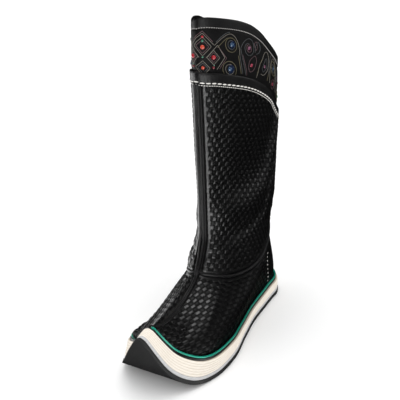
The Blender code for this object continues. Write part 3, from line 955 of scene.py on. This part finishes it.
def shaftReliefAndShade(points, side):
    d, below = roundLength(points), riseLength(points)
    fromTop, back = below[:, -1:] - below, d[-1:] - d
    mask = weaveMask(shaft, d, below, fromTop)
    mask = mask * fadeIn(*(shaft["backStay"] + more for more in shaft["backClear"]), back)
    hem = bell(d, shaft["hemAt"], shaft["hemWide"], 4)  # raised edge of the panel beside the stay, with a painted sheen: lighter colour and full gloss
    mask = mask * (1 - shaft["hemPlain"] * hem)
    pressed, tops = weaveOver(shaftPoint, side, shaftAngles, shaftClimb, shaft)
    height = mask * (weave["high"] * pressed - weave["sunk"])
    height += softDents(points, shaft["dents"], shaft["dentPhase"])
    height += humps(d, shaft, "groove") + humps(back, shaft, "split") + humps(below, shaft, "roll", "fold")
    height += shaft["backHigh"] * fadeIn(-shaft["backSoft"], shaft["backSoft"], shaft["backStay"] - back)
    creased = creaseRelief(side * shaftAngles[:, None], points[..., 2], shaftCreases)
    height += creased * fadeIn(*shaft["creaseFade"], d)
    height += shaft["hemHigh"] * hem
    # the hem painted lighter and glossier than the stay
    plain = shaft["plainShade"] + (1 - shaft["plainShade"]) * hem
    shade = (mask * tops + (1 - mask) * plain) * shaftSheenAndShade(shaftAngles[:, None], points[..., 2])
    # the shade gets a painted dark line along the stay groove
    return height, shade + humps(d, shaft, "dark")


wallPanels(shaftPoint, shaftAngles, shaftClimb, shaftReliefAndShade, "shaft")
print("shaft done")


def ringLine(surface, rise, depth, pitch):             # places, tangents and normals round the leg
    around = np.linspace(0, 2 * math.pi, 1441)[:-1]
    ring = np.stack(surface(around, rise, depth), axis=-1)
    out = ring - np.stack(surface(around, rise, depth + 1.0), axis=-1)
    both = evenly(np.concatenate([ring, out], axis=1), pitch, closed=True)
    place = both[:, :3]
    return place, unit(np.roll(place, -1, axis=0) - np.roll(place, 1, axis=0)), unit(both[:, 3:])


# black cord in the ankle seam
anklePiping = {"radius": 2.1, "depth": 0.6, "pitch": 1.5}


def anklePoint(angle, rise, depth):
    return legPoint(angle, ankleUp(angle) + rise, depth)


place, tangent, normal = ringLine(anklePoint, 0.0, anklePiping["depth"], anklePiping["pitch"])
bm = newShape()
tube(bm, place, normal, anklePiping["radius"], sides=14, closed=True)
finishPiece(bm, "anklePipingPiece", [smoothLeather], "ankle_piping")

# twin cords down the front seam
frontCords = {
    "radius": 1.1, "spread": 2.1, "low": 106.8, "high": 338.5, "crowdLow": 1.3, "lift": 0.6,
    "pinch": 0.7, "pinchTall": 30.0,
}
climb = np.linspace(0, 1, 170) ** frontCords["crowdLow"]
up = frontCords["low"] + (frontCords["high"] - frontCords["low"]) * climb
front = readChart(leg, "up", "front", up) + frontCords["radius"] + frontCords["lift"]
opened = np.clip((up - frontCords["low"]) / frontCords["pinchTall"], 0, 1)
apart = frontCords["spread"] * (frontCords["pinch"] + (1 - frontCords["pinch"]) * opened)
for side, word in ((1, "left"), (-1, "right")):
    path = np.stack([front, side * apart, up], axis=-1)
    bm = newShape()
    tube(bm, path, np.tile([1.0, 0.0, 0.0], (len(path), 1)), frontCords["radius"], sides=12)
    finishPiece(bm, "frontCord" + word.capitalize(), [smoothLeather], "front_cord_" + word)

# the twin cords run on over the ankle and along the seam of the vamp
seamCords = {
    "radius": 1.0, "apart": 1.05, "lift": 0.8, "pitch": 1.2, "soften": 2,
    "angles": (0.02, 24.0), "rise": (0.965, 0.03),
}
overAnkle = chart(
    "up out half",
    (112, 1.7, 1.45), (109, 1.7, 1.38), (106, 1.85, 1.31), (103.5, 2.2, 1.24), (101.5, 2.4, 1.17),
    (99.5, 2.3, 1.1),
)
angles, climb = np.radians(np.linspace(*seamCords["angles"], 160)), np.linspace(*seamCords["rise"], 90)
halves = [spread(vampPoint, side * angles, climb, 0.0) for side in (-1, 1)]
outs = [spread(vampPoint, side * angles, climb, -1.0) for side in (-1, 1)]
signed = [side * roundLength(half) for side, half in zip((-1, 1), halves)]
across, points, outs = (np.concatenate([pair[0][::-1], pair[1]]) for pair in (signed, halves, outs))
bend = seamBend(riseLength(halves[1][:1, ::-1])[0, ::-1])
grid = np.concatenate([points, outs], axis=2)
bm = newShape()
for side in (1, -1):
    line = np.array([
        [np.interp(side * seamCords["apart"] - bend[j], across[:, j], grid[:, j, k]) for k in range(6)]
        for j in range(len(climb))
    ])
    place, out = line[:, :3], unit(line[:, 3:] - line[:, :3])
    front = readChart(leg, "up", "front", overAnkle["up"]) + overAnkle["out"]
    start = np.stack([front, side * overAnkle["half"], overAnkle["up"]], axis=-1)
    place = np.concatenate([start, place + out * seamCords["lift"]])
    out = np.concatenate([np.tile([1.0, 0.0, 0.0], (len(start), 1)), out])
    both = evenly(np.concatenate([place, out], axis=1), seamCords["pitch"])
    soft = seamCords["soften"]
    window = [both[soft + k:len(both) - soft + k] for k in range(-soft, soft + 1)]
    both[soft:-soft] = sum(window) / len(window)
    tube(bm, both[:, :3], both[:, 3:], seamCords["radius"])
finishPiece(bm, "seamCords", [smoothLeather])
print("cords done")


# bands round the rims
def bandLoop(count, power, low, high):                 # rounded oblong section: share of the height, depth
    turn = np.linspace(0, 2 * math.pi, count + 1)[:-1]
    rise = 0.5 + 0.5 * np.sign(np.cos(turn)) * np.abs(np.cos(turn)) ** (2 / power)
    depth = (low + high) / 2 - (high - low) / 2 * np.sign(np.sin(turn)) * np.abs(np.sin(turn)) ** (2 / power)
    return rise, depth


def bandPiece(surface, section, columns, name, node, pucker):
    rise, depth = section
    a, r = np.meshgrid(turnRound(columns), rise, indexing="ij")
    points = np.stack(surface(a, r, np.broadcast_to(depth, a.shape) - pucker(a, r)), axis=-1)
    bm = newShape()
    layGrid(bm, np.concatenate([points, points[:, :1]], axis=1))
    finishPiece(bm, name, [smoothLeather], node)


inset, wall = boot["linerInset"], boot["linerWall"]
collar = {
    "columns": 420, "rows": 40, "square": 4.5, "proud": 0.8,
    "puckers": 74, "pucker": 0.12, "puckerTall": 0.35, "wave": 0.25,
}
binding = {
    "columns": 420, "rows": 36, "square": 7, "proud": 0.7,
    "puckers": 120, "pucker": 0.07, "puckerTall": 0.4, "wave": 0.2,
}


def puckerOf(band, a, r):
    return band["pucker"] * np.sin(a * band["puckers"]) * bell(r, 0, band["puckerTall"])


def collarPucker(a, r):
    return puckerOf(collar, a, r) + collar["wave"] * np.sin(7 * a) * np.sin(3 * a + 1) * (1 - r)


def bindingPucker(a, r):
    return puckerOf(binding, a, r) + binding["wave"] * np.sin(5 * a + 2) * r


section = bandLoop(collar["rows"], collar["square"], -collar["proud"], boot["wall"])
bandPiece(collarPoint, section, collar["columns"], "collarPiece", "collar_band", collarPucker)
section = bandLoop(binding["rows"], binding["square"], inset - binding["proud"], inset + wall)
bandPiece(bindingPoint, section, binding["columns"], "bindingPiece", "liner_binding", bindingPucker)

# liner cuff, plain wall under the ornament
cuff = {"columns": 240, "rows": 40, "innerStep": 4}
linerAngles, linerClimb = turnRound(cuff["columns"]), np.linspace(0, 1, cuff["rows"])
outer = spread(linerPoint, linerAngles, linerClimb, inset)
inner = spread(linerPoint, linerAngles, linerClimb[::-cuff["innerStep"]], inset + wall)
bm = newShape()
grid = np.concatenate([outer, inner, outer[:, :1]], axis=1)
layGrid(bm, grid, None, [len(linerClimb) <= row < grid.shape[1] - 1 for row in range(grid.shape[1])])
finishPiece(bm, "linerPiece", [panelLeather, liningCloth], "liner")
print("bands and liner done")

# stitches round the bands
stitchRows = {
    "collarStitchUpper": {
        "on": collarPoint, "rise": 0.09, "depth": -0.95, "pitch": 7.2,
        "long": 6.2, "thick": 0.85, "slant": 0.06, "look": whiteThread,
    },
    "collarStitchLower": {
        "on": shaftPoint, "rise": 0.993, "depth": -0.35, "pitch": 3.1,
        "long": 2.9, "thick": 0.42, "slant": 0.0, "look": whiteThread,
    },
    "bindingStitch": {
        "on": bindingPoint, "rise": 0.0, "depth": 2.75, "pitch": 3.0,
        "long": 2.7, "thick": 0.6, "slant": 0.0, "look": greyThread,
    },
}
stitchFlat = 0.8
for name, row in stitchRows.items():
    place, tangent, normal = ringLine(row["on"], row["rise"], row["depth"], row["pitch"])
    side = unit(np.cross(normal, tangent))
    bm = newShape()
    for p, t, n, s in zip(place, tangent, normal, side):
        addPill(bm, p, t + s * row["slant"], n, (row["long"] / 2, row["thick"], row["thick"] * stitchFlat))
    finishPiece(bm, name, [row["look"]])

# stitches beside the heel counter
heelRow = {
    "behind": 2.6, "pitch": 6.6, "long": 2.3, "thick": 0.48, "low": 0.07, "high": 0.62, "angles": (95, 170),
}
angles = np.radians(np.linspace(*heelRow["angles"], 300))
climb = np.linspace(heelRow["low"], heelRow["high"], 60)
bm = newShape()
for side in (1, -1):
    points = spread(vampPoint, angles * side, climb, -vamp["counterHigh"])
    out = points - spread(vampPoint, angles * side, climb, 1.0)
    nearest = np.abs(points[..., 0] - (vamp["counterAt"] - heelRow["behind"])).argmin(axis=0)
    row = np.arange(len(climb))
    line = evenly(np.concatenate([points[nearest, row], out[nearest, row]], axis=1), heelRow["pitch"])
    for p, t, n in zip(line[:, :3], np.gradient(line[:, :3], axis=0), unit(line[:, 3:])):
        addPill(bm, p, t, n, (heelRow["long"] / 2, heelRow["thick"], heelRow["thick"]))
finishPiece(bm, "heelStitch", [whiteThread])
print("stitches done")

# ornament on the liner, charted from its front axis: x round the cuff, y down from the binding
ornament = {
    "axis": 6.5, "ringUp": 380.0, "radius": 0.38, "pitch": 1.3, "lift": 0.2,
    "rough": 0.45, "coat": 0.15, "turns": 2000.0,
}
ornamentCords = {
    "Pale": ((0.2, 0.185, 0.16), (0.12, 0.11, 0.09)),
    "Olive": ((0.15, 0.13, 0.075), (0.09, 0.08, 0.045)),
    "Slate": ((0.085, 0.09, 0.095), (0.045, 0.05, 0.055)),
    "Rose": ((0.13, 0.075, 0.08), (0.075, 0.04, 0.05)),
}
linerRound = np.linspace(-math.pi, math.pi, 2001)
ringAt = np.stack(legPoint(linerRound, ornament["ringUp"], inset)[:2], axis=-1)
linerLength = lengthAlong(ringAt)
linerLength -= np.interp(0.0, linerRound, linerLength)


def onLiner(x, y, lift):
    angle = np.interp(ornament["axis"] + np.asarray(x, dtype=float), linerLength, linerRound)
    up = rimUp(angle, boot["linerTop"] - boot["bindingTall"], boot["linerDrop"]) - y
    place = np.stack(legPoint(angle, up, inset), axis=-1)
    out = unit(np.stack(legPoint(angle, up, inset - 1.0), axis=-1) - place)
    return place + out * lift, out


def ovalLine(x, y, wide, tall):
    turn = np.radians(np.linspace(0.0, 360.0, 40))
    return np.stack([x + wide * np.cos(turn), y + tall * np.sin(turn)], axis=-1)


def diamondLine(x, y, wide, tall):
    return np.array([(x, y - tall), (x + wide, y), (x, y + tall), (x - wide, y), (x, y - tall)])


def bendLine(*corners):                                # smooth curve through a few charted places
    corners = np.array(corners, dtype=float)
    spots = lengthAlong(corners)
    fine = np.linspace(0, spots[-1], 60)
    ghost = np.concatenate([2 * corners[:1] - corners[1:2], corners, 2 * corners[-1:] - corners[-2:-1]])
    i = np.clip(np.searchsorted(spots, fine) - 1, 0, len(corners) - 2)
    t = ((fine - spots[i]) / (spots[i + 1] - spots[i]))[:, None]
    a, b, c, d = (ghost[i + k] for k in range(4))
    curve = 2 * b + (c - a) * t + (2 * a - 5 * b + 4 * c - d) * t ** 2 + (3 * b - 3 * c + d - a) * t ** 3
    return 0.5 * curve


frontLines = [
    ("Pale", diamondLine(0, 19.5, 10.4, 10.8)), ("Pale", diamondLine(0, 44.6, 8.4, 8.6)),
    ("Pale", np.array([(-13.5, 17.5), (0, 4.6), (13.5, 17.5)])),
    ("Rose", np.array([(-12.2, 13.8), (0, 2.2), (12.2, 13.8)])),
    ("Rose", diamondLine(0, 19.8, 7.4, 7.8)), ("Slate", diamondLine(0, 44.6, 5.8, 6.0)),
]
sideLines = [
    ("Pale", diamondLine(12.9, 32, 8, 8.5)), ("Rose", diamondLine(12.9, 32, 5.4, 5.8)),
    ("Rose", np.array([(20.5, 20.5), (30.4, 31.4), (20.5, 44.6)])),
    ("Slate", bendLine((16.5, 14), (24.5, 6.8), (31.5, 2.4), (36, 1.2))),
    ("Olive", bendLine((49.5, 27), (51.5, 37), (53.5, 48))),
    ("Rose", bendLine((57, 25), (60, 33), (62.8, 41), (63.8, 49))),
    ("Olive", bendLine((85.5, 44), (89.5, 36), (93, 29), (98.5, 21.5))),
    ("Rose", bendLine((80, 8), (84.5, 4), (87, 9), (84, 14.5), (80, 8))),
    ("Slate", bendLine((116.5, 36), (119, 26), (121, 15), (124.5, 8))),
    ("Olive", bendLine((112.5, 44), (116, 36), (119, 30))),
    ("Pale", np.array([(4, 32.5), (15, 21.0), (18.5, 17.5), (28, 30.8), (17, 45.5)])),
    ("Pale", bendLine((14.5, 17.8), (23.5, 9.8), (31.5, 4.6), (37.5, 3), (43.5, 5), (48.5, 11), (51, 18),
                      (51.8, 26))),
    ("Slate", bendLine((51.8, 26), (54, 36), (56, 48))),
    ("Olive", bendLine((18.5, 20), (25.5, 13), (31.5, 8.6), (37.5, 7.2))),
    ("Olive", ovalLine(38, 15.6, 8.7, 8.3)), ("Slate", ovalLine(38.3, 15.4, 5.4, 5.1)),
    ("Olive", ovalLine(35, 44.6, 10.3, 9.8)), ("Pale", ovalLine(35, 44.4, 6.3, 6.0)),
    ("Slate", bendLine((53.5, 17.5), (55.5, 26), (58, 34), (60.5, 42), (61.3, 49))),
    ("Slate", bendLine((53.5, 17.5), (58, 11), (64, 6), (71, 3.8), (76.5, 6), (79, 12), (77.5, 18.5),
                       (73, 23), (67, 24), (62.3, 20.5), (61.3, 14.8), (64.5, 10.6), (69, 10))),
    ("Rose", ovalLine(69.2, 15.6, 4.6, 4.4)),
    ("Rose", bendLine((67.5, 38), (69.5, 31), (75.5, 25.5), (82, 22), (84.5, 27), (81, 36), (75.5, 42),
                      (69.5, 43.5), (67.5, 38))),
    ("Slate", bendLine((81.5, 18), (83, 10), (88, 3.6), (92, 5), (93.5, 11), (89.5, 16.6), (84.5, 18.8))),
    ("Pale", bendLine((84, 48), (88, 40), (91, 32), (97, 24), (103, 14.5), (109, 9), (115, 10), (117.5, 18),
                      (115, 28), (108, 36), (101, 41), (95, 41))),
    ("Slate", bendLine((98, 34), (103.5, 25), (109.5, 17), (112, 23), (108, 31), (101.5, 36.5), (98, 34))),
    ("Olive", ovalLine(134, 20, 8.7, 8.7)), ("Slate", ovalLine(134, 20, 5.3, 5.3)),
    ("Pale", bendLine((121, 44), (122, 30), (125, 17), (132, 8), (140, 9), (146, 18), (148, 30), (153, 42))),
    ("Rose", bendLine((127, 43), (131, 36), (138, 33), (141, 38), (137, 45), (130, 47), (127, 43))),
    ("Slate", bendLine((152, 28), (154, 15), (161, 8), (168, 13), (168, 22), (162, 26), (158, 21),
                       (161, 16))),
    ("Pale", diamondLine(180, 22, 8.6, 9)), ("Pale", diamondLine(180, 22, 12, 12.6)),
    ("Olive", ovalLine(168, 42, 7, 6.6)),
]
cordShapes = {name: newShape() for name in ornamentCords}
mirrored = [(look, line * np.array([-1.0, 1.0])) for look, line in sideLines]
for look, line in frontLines + sideLines + mirrored:
    line = evenly(line, ornament["pitch"])
    place, out = onLiner(line[:, 0], line[:, 1], ornament["lift"])
    tube(cordShapes[look], place, out, ornament["radius"], sides=6)
for name, (colour, deep) in ornamentCords.items():
    look = cordLook("cord" + name, colour, deep, ornament["rough"], ornament["coat"], ornament["turns"])
    finishPiece(cordShapes[name], "ornament" + name, [look])

# beads, with their chart of places: colour, x, y, size
beadColours = {
    "Coral": (0.72, 0.085, 0.045), "Red": (0.5, 0.018, 0.03), "Wine": (0.2, 0.012, 0.022),
    "Blue": (0.035, 0.085, 0.17), "Navy": (0.008, 0.02, 0.06), "Green": (0.05, 0.24, 0.15),
    "Plum": (0.27, 0.09, 0.17), "Crimson": (0.4, 0.05, 0.09),
}
beads = {
    "frontTo": 60.0, "frontFlat": 0.75, "frontLift": 0.1, "sideFlat": 0.4, "segments": (18, 12),
    "rough": 0.2, "coat": 0.9, "deep": 0.6, "turns": 300.0, "glass": 2.2,
}
discs = {"colour": "Navy", "flat": 0.12, "lift": 0.05, "coat": 0.4}
frontBeads = [
    ("Coral", 0, 20.4, 2.6), ("Red", 0, 8.9, 1.5), ("Green", 0, 13.4, 1.6), ("Green", 0, 31.8, 1.1),
    ("Coral", 0, 44.3, 2.0),
]
sideBeads = [
    ("Red", 12.9, 31.8, 2.7), ("Wine", 12.6, 43.6, 1.6), ("Green", 13.3, 41.2, 0.9),
    ("Blue", 38.6, 15.1, 2.7), ("Navy", 38.3, 15.4, 4.6), ("Blue", 35, 43.9, 2.8), ("Navy", 35, 44.4, 5.4),
    ("Plum", 69.2, 15.4, 2.3), ("Crimson", 73.4, 35.4, 2.3), ("Plum", 105.5, 28.5, 2.0),
    ("Blue", 134, 20, 2.7), ("Crimson", 134, 40, 2.1), ("Red", 180, 22, 2.6), ("Plum", 163, 19, 1.8),
    ("Green", 168, 42, 2.2),
]
upright = np.array([0.0, 0.0, 1.0])
beadShapes = {name: newShape() for name in beadColours}
for name, x, y, size in frontBeads + sideBeads + [(name, -x, y, size) for name, x, y, size in sideBeads]:
    flat, lift = beads["sideFlat"], 0.0
    if name == discs["colour"]:
        flat, lift = discs["flat"], discs["lift"]
    elif abs(x) < beads["frontTo"]:
        flat, lift = beads["frontFlat"], size * beads["frontLift"]
    place, out = onLiner(x, y, lift)
    addPill(beadShapes[name], place, upright, out, (size, size, size * flat), beads["segments"])
for name, colour in beadColours.items():
    deep = tuple(c * beads["deep"] for c in colour)
    coat = discs["coat"] if name == discs["colour"] else beads["coat"]
    glass = {"turns": beads["turns"], "Coat_IOR": beads["glass"]}
    look = cordLook("bead" + name, colour, deep, beads["rough"], coat, **glass)
    finishPiece(beadShapes[name], "beads" + name, [look])
print("ornament done")

# floor, light and camera
stage = {
    "floorSize": 6.0, "floorDrop": 0.0003, "sky": 1.14, "floorRough": 0.6,
    "floor": (0.93, 0.93, 0.93), "floorDark": (0.92, 0.92, 0.92), "floorLight": (0.94, 0.94, 0.94),
}
# glowing wedges just under the floor, the only parts of it seen in the shine: painted reflections of the
# floor, lit from within
glowCards = {
    "frontCard": {"turn": -45.0, "half": 25.0, "from": (0.03, -0.05), "glow": 1.2},
    "outerCard": {"turn": 184.0, "half": 34.0, "from": (-0.03, 0.0), "glow": 0.8},
}
wedge = {"start": 0.06, "long": 1.1, "drop": 0.001, "rough": 0.8}
floorLook = newLook("paleFloor", stage["floor"], stage["floorRough"], Specular_IOR_Level=0.2)
dust = noise(floorLook, objectPlace(floorLook), 3.0, 2.0)
setSocket(floorLook, "Base Color", blendColour(floorLook, dust, stage["floorDark"], stage["floorLight"]))
for name in ("paleFloor", *glowCards):
    glowCard = glowCards.get(name)
    look = floorLook
    bm = bmesh.new()
    bmesh.ops.create_grid(bm, x_segments=8, y_segments=8, size=stage["floorSize"])
    bmesh.ops.translate(bm, verts=list(bm.verts), vec=(0, 0, -stage["floorDrop"]))
    if glowCard:
        # the wedge glows, as a painted reflection of a bright floor
        glow = {"Emission_Color": (1.0, 1.0, 1.0, 1.0), "Emission_Strength": glowCard["glow"]}
        look = newLook(name + "Glow", stage["floor"], wedge["rough"], **glow)
        turn, slant = math.radians(glowCard["turn"]), math.tan(math.radians(glowCard["half"]))
        for vert in bm.verts:
            reach = wedge["start"] + wedge["long"] * (0.5 + 0.5 * vert.co.x / stage["floorSize"])
            aside = vert.co.y / stage["floorSize"] * slant * reach
            vert.co.x = glowCard["from"][0] + reach * math.cos(turn) - aside * math.sin(turn)
            vert.co.y = glowCard["from"][1] + reach * math.sin(turn) + aside * math.cos(turn)
            vert.co.z -= wedge["drop"]
    mesh = bpy.data.meshes.new(name)
    bm.to_mesh(mesh)
    bm.free()
    mesh.materials.append(look)
    floor = bpy.data.objects.new(name, mesh)
    scene.collection.objects.link(floor)
    floor.visible_glossy = bool(glowCard)
    floor.visible_camera = floor.visible_diffuse = floor.visible_shadow = not glowCard

sky = bpy.data.worlds.new("softSky")
sky.use_nodes = True
sky.node_tree.nodes["Background"].inputs["Color"].default_value = (1.0, 1.0, 1.0, 1.0)
sky.node_tree.nodes["Background"].inputs["Strength"].default_value = stage["sky"]
sky.cycles_visibility.glossy = False
scene.world = sky

lamps = [
    # name, place, aim, width, height, power
    ("topSoft", (-0.1, -0.1, 4.0), (0.0, -0.02, 0.1), 2.3, 2.3, 32.0),
    ("frontSoft", (2.4, -1.8, 0.95), (0.0, 0.0, 0.2), 1.4, 1.0, 5.0),
    ("rightSoft", (2.1, 2.1, 0.24), (0.0, 0.0, 0.2), 2.2, 0.44, 4.6),
    ("leftSoft", (-2.8, 1.1, 1.0), (0.0, 0.0, 0.1), 1.4, 1.2, 1.1),
]
for name, place, aim, width, height, power in lamps:
    light = bpy.data.lights.new(name, "AREA")
    light.shape, light.size, light.size_y, light.energy = "RECTANGLE", width, height, power
    lamp = bpy.data.objects.new(name, light)
    lamp.location = place
    lamp.rotation_euler = (Vector(aim) - Vector(place)).to_track_quat("-Z", "Y").to_euler()
    scene.collection.objects.link(lamp)

view = {
    "place": (0.5690, -0.9443, 0.7254), "axis": (-0.40496, 0.79806, -0.44620),
    "aim": (-0.005, -0.013, 0.187), "lens": 91.8,
}
camera = bpy.data.objects.new("camera", bpy.data.cameras.new("camera"))
camera.location = view["place"]
axis, towards = Vector(view["axis"]), Vector(view["aim"]) - Vector(view["place"])
camera.rotation_euler = (axis.rotation_difference(towards) @ axis.to_track_quat("-Z", "Y")).to_euler()
camera.data.lens = view["lens"]
scene.collection.objects.link(camera)
scene.camera = camera
print("stage done")
